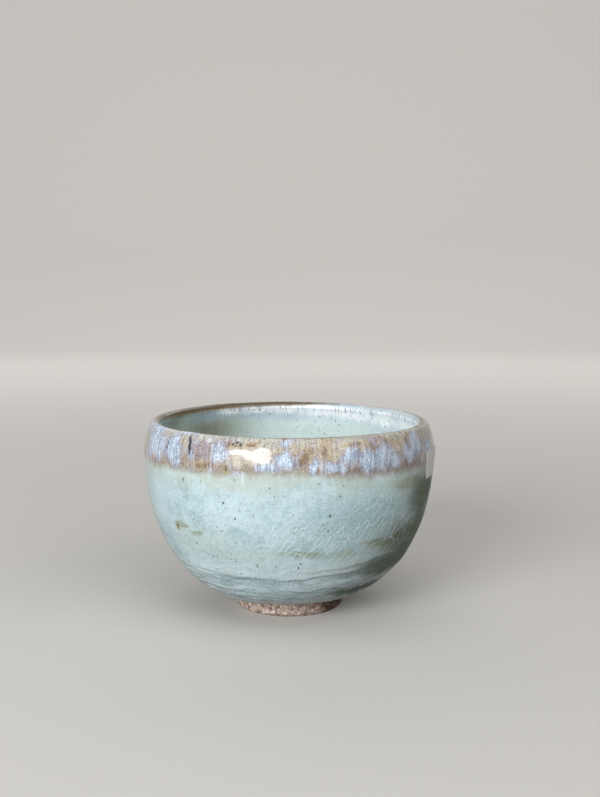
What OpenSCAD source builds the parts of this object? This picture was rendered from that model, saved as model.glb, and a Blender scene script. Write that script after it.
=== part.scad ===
// Matcha bowl: a wheel-thrown stoneware bowl with a closed-in lip on a low foot ring.
// The clay is one thrown bowl with a foot ring luted under it. Three coats of fired glaze
// lie face to face on the clay: one outside, one inside, and a second glaze over the rim.
// A blank paper price label is stuck to the side.
// Millimetres, +Z up, with the origin on the table under the middle of the foot ring.

/* [Bowl] */
// Widest diameter, over the glaze
bowl_d = 120; // [105:1:140]
// Height from the table to the top of the glazed lip
bowl_h = 78; // [66:1:92]
// Drop from the top of the lip to the widest circle
shoulder_h = 13; // [10:0.5:18]
// How far the crest of the lip lies inside the widest circle
lip_inset = 4.4; // [3:0.1:8]
// Lean of the lip towards the mouth, in degrees
lip_lean = 26; // [10:1:40]

/* [Clay] */
// Thickness of the clay at the lip
lip_t = 3.4; // [2.4:0.1:5]
// Thickness of the clay at the widest circle
wall_t = 4.5; // [3.5:0.1:7]
// Thickness of the clay at the middle of the floor
floor_t = 6.5; // [4:0.1:9]
// Diameter of the tea pool, the shallow dish in the middle of the floor
pool_d = 38; // [24:1:50]
// Depth of the tea pool
pool_h = 1.2; // [0.4:0.1:2.5]

/* [Curve of the wall] */
// Reach of the belly out from the foot before it turns up
belly_out = 21.6; // [15:0.1:28]
// Rise of the belly over that reach
belly_up = 5.8; // [3:0.1:10]
// Length of the upright stretch under the widest circle, outside
wall_pull = 30.7; // [20:0.1:40]
// Length of the upright stretch under the widest circle, inside
inner_pull = 24; // [16:0.1:32]
// Reach of the flat stretch of the floor round the tea pool
floor_out = 22; // [12:0.1:25]
// Softness of the curves between the lip and the widest circle
shoulder_pull = 4.4; // [2:0.1:6]

/* [Foot] */
// Outside diameter of the foot ring where it joins the bowl
foot_d = 48; // [40:1:56]
// Height of the foot ring
foot_h = 5.7; // [4.8:0.1:9]
// How far the foot ring narrows from the joint to the table, on each side
foot_taper = 1.8; // [0:0.1:3]
// Width of the face that the foot ring stands on
foot_w = 4.6; // [3:0.1:7]
// Bevel along both edges of that face
foot_bevel = 0.8; // [0.3:0.1:1.2]
// How far the wall of the hollow leans in from that bevel to the joint
hollow_taper = 1; // [0:0.1:2]
// Diameter of the low point that the turning tool leaves in the hollow
nub_d = 9; // [5:0.5:14]
// Height of that point
nub_h = 1.1; // [0.4:0.1:1.3]

/* [Glaze] */
// Thickness of the fired glaze
coat_t = 0.6; // [0.3:0.05:1]
// Bare clay left between the foot ring and the edge of the glaze, as a rise
bare_h = 0.35; // [0.2:0.05:1.5]
// Depth of the second glaze down the outside of the rim
dip_out = 12.5; // [8:0.5:20]
// Depth of the second glaze down the inside of the rim
dip_in = 9; // [6:0.5:16]
// Height of the throwing rings that show through the glaze
ring_h = 0.3; // [0.1:0.05:0.5]
// Rise from one throwing ring to the next
ring_pitch = 4.2; // [3:0.1:7]
// Height above the table where the throwing rings fade out
ring_top = 30; // [18:1:45]

/* [Price label] */
// Width of the label round the bowl
label_w = 20; // [10:0.5:30]
// Height of the label
label_h = 10.6; // [6:0.2:16]
// Thickness of its paper
label_t = 0.15; // [0.1:0.01:0.3]
// Film of glue between the paper and the glaze
glue_t = 0.04; // [0.03:0.01:0.1]
// Drop from the top of the lip to the middle of the label
label_drop = 15.2; // [12:0.2:30]
// Direction of the label's middle round the bowl, in degrees from +X
label_dir = -16; // [-180:1:180]

/* [Hidden] */
$fn = 128;

// Handle of a cubic curve that follows a quarter circle of radius 1
QUARTER = 0.5523;
// Steps along each stretch of the outline
wall_steps = 60;
rim_steps = 14;
inner_steps = 30;
pool_steps = 8;
label_steps = 8;
edge_steps = 3;
// Steps of the table that finds a place on the outline by its height
table_steps = 200;

function unit(v) = v / norm(v);

// Point of the cubic curve with control points c, at t from 0 to 1
function curve(c, t) =
    pow(1 - t, 3) * c[0] + 3 * pow(1 - t, 2) * t * c[1] + 3 * (1 - t) * pow(t, 2) * c[2] + pow(t, 3) * c[3];

// Direction in which that curve runs
function heading(c, t) =
    unit(pow(1 - t, 2) * (c[1] - c[0]) + 2 * (1 - t) * t * (c[2] - c[1]) + pow(t, 2) * (c[3] - c[2]));

// Corners of the clay's outline, as [radius, height]
joint = [foot_d / 2, foot_h];
widest = [bowl_d / 2 - coat_t, bowl_h - shoulder_h];
inner_widest = widest - [wall_t, 0];
floor_h = foot_h + floor_t;
pool_edge = [pool_d / 2, floor_h + pool_h];

// The lip is half a circle, square to the wall that leans in under it
lip_r = lip_t / 2;
lip_mid = [bowl_d / 2 - lip_inset, bowl_h - coat_t - lip_r];
lip_side = [cos(lip_lean), sin(lip_lean)];
lip_up = [-sin(lip_lean), cos(lip_lean)];
lip_outer = lip_mid + lip_r * lip_side;
lip_inner = lip_mid - lip_r * lip_side;
lip_top = lip_mid + lip_r * lip_up;

// The skin of the clay, as cubic curves that run on smoothly from the foot ring, up the
// outside, over the lip and down the inside to the middle of the floor
upright = [0, 1];
level = [1, 0];
skin = [
    [joint, joint + [belly_out, belly_up], widest - wall_pull * upright, widest],
    [widest, widest + shoulder_pull * upright, lip_outer - shoulder_pull * lip_up, lip_outer],
    [lip_outer, lip_outer + QUARTER * lip_r * lip_up, lip_top + QUARTER * lip_r * lip_side, lip_top],
    [lip_top, lip_top - QUARTER * lip_r * lip_side, lip_inner + QUARTER * lip_r * lip_up, lip_inner],
    [lip_inner, lip_inner - shoulder_pull * lip_up, inner_widest + shoulder_pull * upright, inner_widest],
    [inner_widest, inner_widest - inner_pull * upright, pool_edge + floor_out * level, pool_edge],
    [pool_edge, pool_edge - pool_d / 4 * level, [pool_d / 4, floor_h], [0, floor_h]],
];
// Places on the skin, counted in curves from the foot ring
outer_lip_place = 2;
inner_lip_place = 4;
floor_place = 6;
middle_place = len(skin);

// The curve that holds a place, and how far along that curve the place is
function curve_of(place) = skin[min(floor(place), middle_place - 1)];
function along(place) = place - min(floor(place), middle_place - 1);

// A place's point on the clay, moved off the clay by lift
function off_clay(place, lift) =
    let (run = heading(curve_of(place), along(place)))
    curve(curve_of(place), along(place)) + lift * [run[1], -run[0]];

function places(from, to, steps) = [for (i = [0:steps]) from + (to - from) * i / steps];
function reverse(list) = [for (i = [len(list) - 1:-1:0]) list[i]];

// The place at a height, between two places where the skin only climbs or only falls
function place_at(height, from, to) =
    lookup(height, [for (place = places(from, to, table_steps)) [off_clay(place, 0)[1], place]]);

glaze_line = place_at(foot_h + bare_h, 0, outer_lip_place);
dip_line_out = place_at(bowl_h - dip_out, 0, outer_lip_place);
dip_line_in = place_at(bowl_h - dip_in, inner_lip_place, floor_place);

// The stretches of the skin: bare clay at the foot, then the three coats in turn
bare_places = places(0, glaze_line, edge_steps);
outside_places = places(glaze_line, dip_line_out, wall_steps);
rim_places = concat(
    places(dip_line_out, outer_lip_place, rim_steps),
    places(outer_lip_place, inner_lip_place, rim_steps),
    places(inner_lip_place, dip_line_in, rim_steps)
);
inside_places = concat(
    places(dip_line_in, floor_place, inner_steps),
    places(floor_place, middle_place, pool_steps)
);

// Neighbouring stretches share their end points, which an outline holds only once
function once(points) =
    [for (i = [0:len(points) - 1]) if (i == 0 || norm(points[i] - points[max(i - 1, 0)]) > 0) points[i]];

function clay_points(stretch) = [for (place = stretch) off_clay(place, 0)];

// Extra glaze over a throwing ring at a height, full at the foot and none at ring_top
function ring_lift(height) =
    height > ring_top ? 0
    : ring_h * (ring_top - height) / (ring_top - foot_h) * (1 - cos(360 * (height - foot_h) / ring_pitch)) / 2;

// Outline of a coat over a stretch of the skin
function coat_points(stretch, rings) =
    let (face = [for (place = stretch)
        off_clay(place, coat_t + (rings ? ring_lift(off_clay(place, 0)[1]) : 0))])
    once(concat(clay_points(stretch), reverse(face)));

module coat(stretch, rings = false) {
    rotate_extrude() polygon(coat_points(stretch, rings));
}

// The thrown bowl, with the turning tool's low point under its floor
module bowl_body() {
    underside = [[0, foot_h - nub_h], [nub_d / 2, foot_h]];
    clay = clay_points(concat(bare_places, outside_places, rim_places, inside_places));
    color("#a98b74") rotate_extrude() polygon(once(concat(underside, clay)));
}

// The foot ring, which narrows towards the table and is seated on the flat underside
module foot_ring() {
    stand_r = foot_d / 2 - foot_taper - foot_bevel;
    hollow_r = stand_r - foot_w - foot_bevel;
    color("#9a765c") rotate_extrude() polygon([
        joint,
        [stand_r + foot_bevel, foot_bevel],
        [stand_r, 0],
        [stand_r - foot_w, 0],
        [hollow_r, foot_bevel],
        [hollow_r - hollow_taper, foot_h],
    ]);
}

module outside_glaze() {
    color("#b7cbc3") coat(outside_places, rings = true);
}

module inside_glaze() {
    color("#bccfc6") coat(inside_places);
}

module rim_glaze() {
    color("#b3a8b6") coat(rim_places);
}

// The blank paper label, which follows the curve of the glaze under it
module price_label() {
    label_mid = bowl_h - label_drop;
    bottom = place_at(label_mid - label_h / 2, 0, outer_lip_place);
    top = place_at(label_mid + label_h / 2, 0, outer_lip_place);
    stretch = places(bottom, top, label_steps);
    back = [for (place = stretch) off_clay(place, coat_t + glue_t)];
    front = [for (place = stretch) off_clay(place, coat_t + glue_t + label_t)];
    turn = 360 * label_w / (PI * bowl_d);
    color("#f1efe9") rotate([0, 0, label_dir - turn / 2])
        rotate_extrude(angle = turn) polygon(concat(back, reverse(front)));
}

bowl_body();
foot_ring();
outside_glaze();
inside_glaze();
rim_glaze();
price_label();
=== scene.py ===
# %% [markdown]
# # A matcha bowl
# The bowl is thrown stoneware with a closed-in lip and a bare foot. A pale celadon glaze lies
# inside and out, and the rim was dipped again in a milky glaze that ran in fine streaks.
# The packed part gives every size, so the lesson starts by loading it and keeping its box.

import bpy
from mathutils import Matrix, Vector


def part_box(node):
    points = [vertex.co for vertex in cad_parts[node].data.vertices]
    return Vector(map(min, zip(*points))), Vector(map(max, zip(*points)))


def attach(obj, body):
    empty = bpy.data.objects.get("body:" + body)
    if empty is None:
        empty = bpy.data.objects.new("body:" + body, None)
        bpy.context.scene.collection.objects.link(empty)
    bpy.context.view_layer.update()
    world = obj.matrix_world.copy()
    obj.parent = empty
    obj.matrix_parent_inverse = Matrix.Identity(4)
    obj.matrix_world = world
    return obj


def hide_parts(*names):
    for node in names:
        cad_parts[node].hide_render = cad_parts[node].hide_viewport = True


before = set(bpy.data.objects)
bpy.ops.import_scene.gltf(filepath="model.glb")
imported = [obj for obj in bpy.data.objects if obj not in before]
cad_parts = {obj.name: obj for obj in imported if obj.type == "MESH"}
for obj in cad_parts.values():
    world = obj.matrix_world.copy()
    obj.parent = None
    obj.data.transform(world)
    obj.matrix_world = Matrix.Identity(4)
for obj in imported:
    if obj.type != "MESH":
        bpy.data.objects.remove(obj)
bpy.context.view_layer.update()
print("solids loaded:", sorted(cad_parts))

# %% [markdown]
# ## Sizes
# Blender counts in metres, but a potter thinks in millimetres. The boxes of the solids are read in
# millimetres here, so that the looks follow the part, and points go back to metres at the end.

# %% Read the sizes
import math
from types import SimpleNamespace

import bmesh
import bpy
import numpy as np
from mathutils import Vector, noise

MM = 0.001


def box_mm(node):
    """Lower and upper corner of a solid's box, in millimetres."""
    low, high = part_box(node)
    return np.array(low) / MM, np.array(high) / MM


clay_high = box_mm("bowl_body")[1]
foot_high = box_mm("foot_ring")[1]
outside_high = box_mm("outside_glaze")[1]
inside_low, inside_high = box_mm("inside_glaze")
rim_low, rim_high = box_mm("rim_glaze")
print("bowl", (2 * outside_high[0]).round(1), "mm wide and", rim_high[2].round(1), "mm high")

# %% [markdown]
# ## Camera
# The camera comes first, so that each later step can be judged in the picture. Its place was
# worked out from the ellipses of the lip and the foot: it stands about 42 cm from the bowl, a
# little above the lip, and looks slightly down. It turns a touch to the right, because the
# bowl stands left of the middle of the picture.

# %% Set up the camera
PICTURE_H = 797
FOCAL_PX = 1005
SENSOR = 36.0
CAMERA_PLACE = (0, -0.4167, 0.1341)
CAMERA_DOWN = math.radians(6.51)
CAMERA_RIGHT = math.radians(0.61)
scene = bpy.context.scene


def add_object(name, data):
    """A new object in the scene that shows the data."""
    made = bpy.data.objects.new(name, data)
    scene.collection.objects.link(made)
    return made


camera_data = bpy.data.cameras.new("camera")
camera_data.sensor_fit = "VERTICAL"
camera_data.sensor_height = SENSOR
camera_data.lens = FOCAL_PX * SENSOR / PICTURE_H
camera = add_object("camera", camera_data)
camera.location = CAMERA_PLACE
camera.rotation_euler = (math.pi / 2 - CAMERA_DOWN, 0, -CAMERA_RIGHT)
scene.camera = camera
scene.view_settings.view_transform = "Standard"
print("lens", round(camera_data.lens, 1), "mm")

# %% [markdown]
# ## The skin of the clay
# A thrown wall is one smooth line turned about the axis: up from the foot, round the belly, over
# the lip and down to the tea pool. It could be a long list of points, but cubic curves that run on
# from each other give the same line with few sizes. Every coat of glaze is later laid on it.

# %% Set the corners of the skin
SHOULDER_DROP = 13.0
LIP_INSET = 4.4
LIP_LEAN = math.radians(26)
LIP_T = 3.4
WALL_T = 4.5
POOL_R = 19.0
POOL_H = 1.2

coat_t = rim_high[2] - clay_high[2]
joint = np.array([foot_high[0], foot_high[2]])
widest = np.array([clay_high[0], rim_high[2] - SHOULDER_DROP])
inner_widest = widest - [WALL_T, 0]
floor_h = inside_low[2]
pool_edge = np.array([POOL_R, floor_h + POOL_H])
lip_r = LIP_T / 2
lip_side = np.array([math.cos(LIP_LEAN), math.sin(LIP_LEAN)])
lip_up = np.array([-math.sin(LIP_LEAN), math.cos(LIP_LEAN)])
lip_mid = np.array([widest[0] + coat_t - LIP_INSET, clay_high[2] - lip_r])
lip_outer = lip_mid + lip_r * lip_side
lip_inner = lip_mid - lip_r * lip_side
lip_top = lip_mid + lip_r * lip_up
print("glaze", coat_t.round(2), "mm thick, widest circle", widest[1].round(1), "mm above the table")

# %% Draw the curves
BELLY_OUT, BELLY_UP = 21.6, 5.8
WALL_PULL, INNER_PULL, FLOOR_OUT, SHOULDER_PULL = 30.7, 24.0, 22.0, 4.4
CURVE_STEPS = 400
# handle of a cubic curve that follows a quarter circle of radius 1
QUARTER = 0.5523
upright = np.array([0, 1])
level = np.array([1, 0])
round_off = QUARTER * lip_r

outside_curves = [
    (joint, joint + [BELLY_OUT, BELLY_UP], widest - WALL_PULL * upright, widest),
    (widest, widest + SHOULDER_PULL * upright, lip_outer - SHOULDER_PULL * lip_up, lip_outer),
    (lip_outer, lip_outer + round_off * lip_up, lip_top + round_off * lip_side, lip_top),
]
inside_curves = [
    (lip_top, lip_top - round_off * lip_side, lip_inner + round_off * lip_up, lip_inner),
    (lip_inner, lip_inner - SHOULDER_PULL * lip_up, inner_widest + SHOULDER_PULL * upright, inner_widest),
    (inner_widest, inner_widest - INNER_PULL * upright, pool_edge + FLOOR_OUT * level, pool_edge),
    (pool_edge, pool_edge - POOL_R / 2 * level, np.array([POOL_R / 2, floor_h]), np.array([0, floor_h])),
]


def cubic(controls):
    """Points of the cubic curve with these four control points."""
    a, b, c, d = controls
    t = np.linspace(0, 1, CURVE_STEPS)[:, None]
    return (1 - t) ** 3 * a + 3 * (1 - t) ** 2 * t * b + 3 * (1 - t) * t ** 2 * c + t ** 3 * d


def joined(curves):
    """The points of curves that run on from each other, with each shared point once."""
    points = np.vstack([cubic(controls) for controls in curves])
    steps = np.linalg.norm(np.diff(points, axis=0), axis=1)
    return points[np.append(True, steps > 0)]


skin = joined(outside_curves + inside_curves)
skin_length = np.append(0, np.cumsum(np.linalg.norm(np.diff(skin, axis=0), axis=1)))
heading = np.gradient(skin, skin_length, axis=0)
heading /= np.linalg.norm(heading, axis=1)[:, None]
away = np.stack([heading[:, 1], -heading[:, 0]], axis=1)
crest = skin_length[len(joined(outside_curves)) - 1]
print("skin", skin_length[-1].round(1), "mm long, crest of the lip at", crest.round(1))

# %% [markdown]
# A place on the wall is named by its length along the skin, which works outside and inside alike.
# Just above the foot the trimming tool took off a little more clay, so the skin is hollowed there.

# %% Find places on the skin
TRIM_H, TRIM_START, TRIM_AT, TRIM_W = 0.55, 2.0, 4.0, 4.5


def off_clay(at, lift):
    """Radius and height of the place at this length along the skin, moved off the clay by lift."""
    trim = TRIM_H * np.clip(at / TRIM_START, 0, 1) * np.exp(-((at - TRIM_AT) / TRIM_W) ** 2)
    off = lift - trim
    radius = np.interp(at, skin_length, skin[:, 0]) + off * np.interp(at, skin_length, away[:, 0])
    height = np.interp(at, skin_length, skin[:, 1]) + off * np.interp(at, skin_length, away[:, 1])
    return radius, height


def outside_at(height):
    """Length along the skin of the place outside at this height."""
    rising = skin_length <= crest
    return np.interp(height, skin[rising, 1], skin_length[rising])


def inside_at(height):
    """Length along the skin of the place inside at this height."""
    falling = skin_length >= crest
    return np.interp(-height, -skin[falling, 1], skin_length[falling])


print("widest circle", outside_at(widest[1]).round(1), "mm along the skin")

# %% [markdown]
# ## The hand of the potter
# No thrown bowl is quite round or level. Each piece could be bent by a modifier, but then their
# faces would part. Here one function bends every piece alike: the wall is a little out of round,
# and the lip rises and dips by a fraction of a millimetre. It fades to nothing at the foot, so the
# bowl still stands flat.

# %% Bend the round form by hand
OVAL, OVAL_DIR = 0.25, math.radians(35)
THREE_SIDED, THREE_DIR = 0.14, math.radians(80)
LIP_RISE = 0.45
TILT, TILT_DIR = 0.35, math.radians(150)
DIP, DIP_DIR = 0.15, math.radians(110)
FOOT_HOLD = foot_high[2] + 4


def by_hand(radius, height, turn):
    """Points in metres of a turned form, with the unevenness of a hand-thrown one."""
    share = np.clip((height - FOOT_HOLD) / (rim_high[2] - FOOT_HOLD), 0, 1)
    swell = OVAL * np.cos(2 * (turn - OVAL_DIR)) + THREE_SIDED * np.cos(3 * (turn - THREE_DIR))
    rise = LIP_RISE + TILT * np.cos(turn - TILT_DIR) + DIP * np.cos(2 * (turn - DIP_DIR))
    out = radius + share * swell * radius / widest[0]
    up = height + share ** 2 * rise
    return MM * np.stack([out * np.cos(turn), out * np.sin(turn), up], axis=-1)


lip_gain = LIP_RISE + TILT + DIP
print("out of round by up to", OVAL + THREE_SIDED, "mm, lip up to", round(lip_gain, 2), "mm higher")

# %% [markdown]
# ## From rings to a mesh
# A turned piece is a stack of rings, so its mesh is a grid of points: one row per ring and one
# column per direction. Blender's Screw modifier could turn an outline too, but a grid lets every
# point move by itself and keep facts for the finishes. It also gives every visible face a generous
# share of the map that a bake would use.

# %% Share out the map
COLUMNS = 384
MAP_EDGE = 0.006
HIDDEN_STRIP = 0.06
turns = np.linspace(0, 2 * math.pi, COLUMNS, endpoint=False)


def grid_map(rows, columns, shown):
    """Map places of each face's corners: shown rows fill four tiles, hidden rows share a strip."""
    quarter = columns // 4
    row, column = np.meshgrid(np.arange(rows), np.arange(columns), indexing="ij")
    first, last = shown
    across = np.stack([column, column + 1, column + 1, column], axis=-1)
    along = np.stack([row, row, row + 1, row + 1], axis=-1)
    tile = (column // quarter)[..., None]
    tile_u = (across - tile * quarter) / quarter
    tile_v = (along - first) / (last - first)
    size_u = 0.5 - 2 * MAP_EDGE
    size_v = (1 - HIDDEN_STRIP) / 2 - 2 * MAP_EDGE
    u = MAP_EDGE + tile % 2 * 0.5 + tile_u * size_u
    v = HIDDEN_STRIP + MAP_EDGE + tile // 2 * (1 - HIDDEN_STRIP) / 2 + tile_v * size_v
    hidden = ((row < first) | (row >= last))[..., None]
    back = np.where(along >= last, along - last, along + rows - last) / max(rows - last + first, 1)
    u = np.where(hidden, across / columns, u)
    v = np.where(hidden, MAP_EDGE + back * (HIDDEN_STRIP - 2 * MAP_EDGE), v)
    return np.stack([u, v], axis=-1).reshape(-1, 2)


print("each column is", 360 / COLUMNS, "degrees wide")

# %% Make meshes from grids of points
MAP_NAME = "OFBake"
SHARP = math.radians(40)
MERGE_WITHIN = 5e-6


def finished(name, mesh):
    """An object of the mesh, with doubled points merged, faces outward and edges kept sharp."""
    build = bmesh.new()
    build.from_mesh(mesh)
    bmesh.ops.remove_doubles(build, verts=build.verts, dist=MERGE_WITHIN)
    bmesh.ops.recalc_face_normals(build, faces=build.faces)
    build.to_mesh(mesh)
    build.free()
    mesh.shade_smooth()
    mesh.set_sharp_from_angle(angle=SHARP)
    print(name, len(mesh.polygons), "faces")
    return add_object(name, mesh)


def mesh_of_rings(name, points, closed, shown, facts):
    """A closed mesh from a grid of points. Facts are vectors kept with each point."""
    rows, columns = points.shape[:2]
    index = np.arange(rows * columns).reshape(rows, columns)
    below = index if closed else index[:-1]
    above = np.roll(index, -1, axis=0) if closed else index[1:]
    corners = [below, np.roll(below, -1, axis=1), np.roll(above, -1, axis=1), above]
    faces = np.stack(corners, axis=-1).reshape(-1, 4)
    mesh = bpy.data.meshes.new(name)
    mesh.from_pydata(points.reshape(-1, 3).tolist(), [], faces.tolist())
    for fact, values in facts.items():
        layer = mesh.attributes.new(fact, "FLOAT_VECTOR", "POINT")
        layer.data.foreach_set("vector", values.reshape(-1).astype(np.float32))
    uv = mesh.uv_layers.new(name=MAP_NAME)
    uv.uv.foreach_set("vector", grid_map(len(below), columns, shown).reshape(-1).astype(np.float32))
    return finished(name, mesh)


def grain(points, wavelength):
    """Smooth noise from -1 to 1 at each point, with bumps about one wavelength wide."""
    flat = (points.reshape(-1, 3) / wavelength).tolist()
    return np.array([noise.noise(place) for place in flat]).reshape(points.shape[:-1])


print("points closer than", MERGE_WITHIN / MM, "mm become one")

# %% [markdown]
# ## Where each glaze begins and ends
# The potter held the bowl by its foot, so the celadon stops just above it in a slightly wavy
# line. The rim glaze was a second dip, and its edges wander too. Each line could be cut with a
# boolean, but writing it once, as a function of the direction, lets two neighbouring coats share it.

# %% Draw the lines between the coats
BARE_RISE = 0.35
START_RAISE = 0.5
START_WAVES = [(0.3, 3, 0.4), (0.2, 8, 2)]
DIP_WAVES_OUT = [(0.8, 4, 1), (0.4, 9, 0)]
DIP_WAVES_IN = [(0.5, 5, 2), (0.3, 11, 0)]


def wander(turn, waves):
    """A sum of waves round the bowl, each with its height, its count and where it starts."""
    return sum(height * np.sin(count * turn + start) for height, count, start in waves)


def glaze_start(turn):
    return outside_at(foot_high[2] + BARE_RISE) + START_RAISE + wander(turn, START_WAVES)


def dip_line_outside(turn):
    return outside_at(rim_low[2]) + wander(turn, DIP_WAVES_OUT)


def dip_line_inside(turn):
    return inside_at(inside_high[2]) + wander(turn, DIP_WAVES_IN)


def spread(start, end, rows):
    """Lengths along the skin from one line to another: a row per ring, a column per direction."""
    share = np.linspace(0, 1, rows)[:, None]
    return start + (end - start) * share


print("bare clay up to", glaze_start(turns).max().round(1), "mm along the skin")

# %% [markdown]
# ## Where the glaze melted
# Where the second glaze lies thick it turned to a milky lavender, and where it ran thin the iron
# of the clay came through as tan and ochre. The celadon has broad warm, deep, mossy and crazed
# areas, and stains. Noise alone would scatter them anywhere, so the large patches are listed one
# by one, as a painter would block them in: each is a direction in degrees, a drop from the crest of
# the lip (less than 0 inside), half a width and half a height. The finishes add the fine streaks.
# The mossy areas are partly a glaze tone and partly painted shade.

# %% Block in the patches of the rim
# milky: down the band, then inside the lip, then as pale clouds on the wall
OPAL_PATCHES = [
    (-152, 6, 8, 6), (-138, 6.6, 6.4, 4.6), (-128.4, 8.6, 1.8, 2.2), (-116, 6.4, 3.6, 4.2),
    (-92, 8.5, 4, 3.6), (-96, 11, 4.6, 1.6), (-91.4, 4, 2, 2.2), (-81.4, 10.7, 2.2, 2.6),
    (-74, 10.2, 4.2, 2.6), (-68, 7.4, 4, 2.8), (-58, 8, 10, 4), (-49, 9, 5, 3),
    (-41, 7, 4, 3), (-34, 6, 5, 4), (-22, 8, 5, 4), (-4, 9, 6, 3.6), (14, 7, 5, 4.6), (31, 9.5, 6, 3),
    (52, 7, 8, 4.4), (71, 10, 3, 3), (86, 7.5, 6, 4), (108, 8.5, 7, 4), (127, 6, 3, 3.6),
    (143, 9, 6, 3.6), (164, 7, 6, 4.4), (181, 9, 4, 3),
    (121, -2.6, 10, 1.8), (106, -2.8, 12, 1.8), (92, -2.6, 14, 2.6), (74, -2.9, 16, 3.6),
    (56, -3.6, 16, 4.2), (38, -4.2, 16, 4.6), (18, -4.8, 18, 5), (0, -5, 16, 5), (-38, -4.6, 16, 2.8),
    (-72, -5, 12, 2.6), (-110, -4.6, 16, 3), (-150, -4.6, 14, 2.6), (-155, 0.8, 12, 2.6), (-132, 0.8, 6, 1.8),
    (-113, 31, 12, 9), (-108, 22, 9, 8), (-150, 28, 10, 12), (30, 30, 14, 10), (100, 28, 16, 9),
]
# iron down the band; the last two give a darker grey stretch inside the lip, at the back on the left
IRON_PATCHES = [
    (-155, 11, 3, 1.8), (-135, 11, 9, 1.8), (-122, 10.8, 7, 1.6), (-133.4, 5.5, 1.8, 2.2),
    (-113, 2.8, 2.6, 1.4), (-104, 3.4, 3.4, 1.2), (-96, 7.1, 2.4, 1.6), (-86, 8, 3, 4.2), (-83, 5, 3.4, 2.2),
    (-78, 5.4, 4, 4), (-66, 4, 4.6, 1.8), (-58, 3, 3.4, 1.6), (-50, 4.2, 3.6, 2.4),
    (-40, 3.4, 4.6, 1.4), (-27, 10.5, 2, 1.4), (-13, 4, 4, 2.4), (5, 3.4, 4, 2), (22, 5, 3.4, 4),
    (42, 4, 3, 3), (62, 8, 3.4, 4.4), (78, 3.6, 4, 2), (97, 5, 3, 3.6), (118, 10.5, 4, 2),
    (134, 4, 4, 2.4), (153, 5, 3, 4), (173, 10.6, 4, 2.2), (134, -10, 24, 9), (160, -10, 14, 12),
]
# breaks along the lip, brown and past a strength of 1 darker still: direction, strength, drop of the middle
# and half width
LIP_BREAKS = [
    (-150, 0.3, 0.6, 0.6), (-114, 0.5, 0.3, 0.8), (-98, 1.4, 0.2, 1.0), (-60, 1.6, 0.1, 1.2),
    (-30, 1.4, 0.1, 1.2), (10, 0.35, 0.4, 0.8), (60, 0.3, 0, 0.9), (90, 1.05, -0.3, 1.2),
    (105, 1.1, -0.4, 1.4), (125, 1.1, -0.5, 1.7), (155, 1.05, -0.9, 1.8), (175, 0.8, -0.6, 1.4),
]
# lower edge of the band: direction and drop
BAND_EDGES = [
    (-155, 15.1), (-133, 15.3), (-115, 14.9), (-96, 14.0), (-80, 14.6), (-62, 16.0), (-47, 16.3),
    (-35, 16.2), (-25, 16.8), (30, 15.0), (90, 14.5), (140, 15.2), (180, 14.8),
]
print("patches on the rim:", len(OPAL_PATCHES), "milky and", len(IRON_PATCHES), "with iron")

# %% Block in the patches of the wall
WARM_PATCHES = [
    (-127, 42, 20, 7), (-108, 47, 18, 5), (-70, 53, 20, 4), (-112, 16, 14, 4), (-44, 45, 12, 5),
    (-42, 20, 14, 6), (-6, 42, 18, 8), (30, 48, 20, 5), (58, 38, 16, 6), (92, 46, 20, 6),
    (128, 40, 16, 7), (165, 48, 20, 6),
]
DEEP_PATCHES = [
    (-62, 34, 26, 14), (-85, 44, 14, 4), (-70, 46, 12, 4), (-110, 37.5, 6, 2), (-66, 49, 14, 4),
    (-95, 68, 40, 4), (20, 30, 16, 20), (140, 30, 18, 16), (-60, -14, 30, 10),
]
# moss green, partly a glaze tone and partly painted shade, mostly on the right of the front
MOSS_AND_SHADE_PATCHES = [
    (-25, 28, 16, 14), (-28, 44, 28, 12), (-34, 55, 32, 8), (-50, 69, 20, 4), (160, 58, 30, 4),
]
CRAZE_PATCHES = [
    (-88, 41, 17, 11), (-68, 40, 14, 12), (-56, 33, 13, 11), (-45, 38, 10, 10),
    (25, 35, 16, 12), (135, 44, 16, 10),
]
# mauve on the band, olive on the wall, and haze inside
STAINS = [
    (-124, 6.5, 5, 3.4), (-131, 10.5, 8, 1.6), (-84, 10.6, 3, 2), (-62, 11.5, 12, 1.8),
    (-46, 11.6, 12, 1.6), (15, 11, 12, 1.8), (70, 5, 5, 3), (120, 10.8, 12, 1.6), (165, 6, 5, 3),
    (-136, 37, 4, 1.8), (-128, 38, 6, 1.2), (-117, 56.5, 7, 0.9), (-84, 45.5, 12, 2.2), (-67, 46, 12, 2.4),
    (-53, 43.5, 10, 2), (-42, 42, 8, 2), (-33, 41, 5, 2.8), (-27, 39, 5, 6), (-30, 50, 6, 4),
    (-28, 27, 6, 10), (-40, 19, 9, 4), (10, 40, 9, 2), (48, 36, 8, 2.4), (88, 44, 9, 1.8),
    (140, 36, 8, 2.2), (130, -4.4, 14, 2.8), (108, -5.6, 14, 2.4), (88, -6.4, 14, 2.2),
]
WALL_PATCHES = [WARM_PATCHES, CRAZE_PATCHES, DEEP_PATCHES, MOSS_AND_SHADE_PATCHES, STAINS]
print("patches on the wall:", sum(len(places) for places in WALL_PATCHES))

# %% [markdown]
# A patch is strongest in its middle and fades out like a soft brush dab. Before the dabs are
# measured, every place is pushed about a little, so that they get ragged outlines.

# %% Measure how deep a place lies in the patches
UNROLLED_R = 58.0
BAND_DEPTH = 13.2
BAND_SETTLE = 12.0
WOBBLE, WOBBLE_L = 2.2, 5.0
INSIDE_WOBBLE, INSIDE_FROM = 0.3, -3.0


def smooth(value, low, high):
    share = np.clip((value - low) / (high - low), 0, 1)
    return share * share * (3 - 2 * share)


def unrolled(turn, height):
    return np.stack([UNROLLED_R * np.cos(turn), UNROLLED_R * np.sin(turn), height], axis=-1)


def band_edge(turn):
    """Drop of the lower edge of the rim glaze in each direction."""
    directions, edges = zip(*BAND_EDGES)
    return np.interp(np.degrees(turn), directions, edges, period=360)


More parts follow.
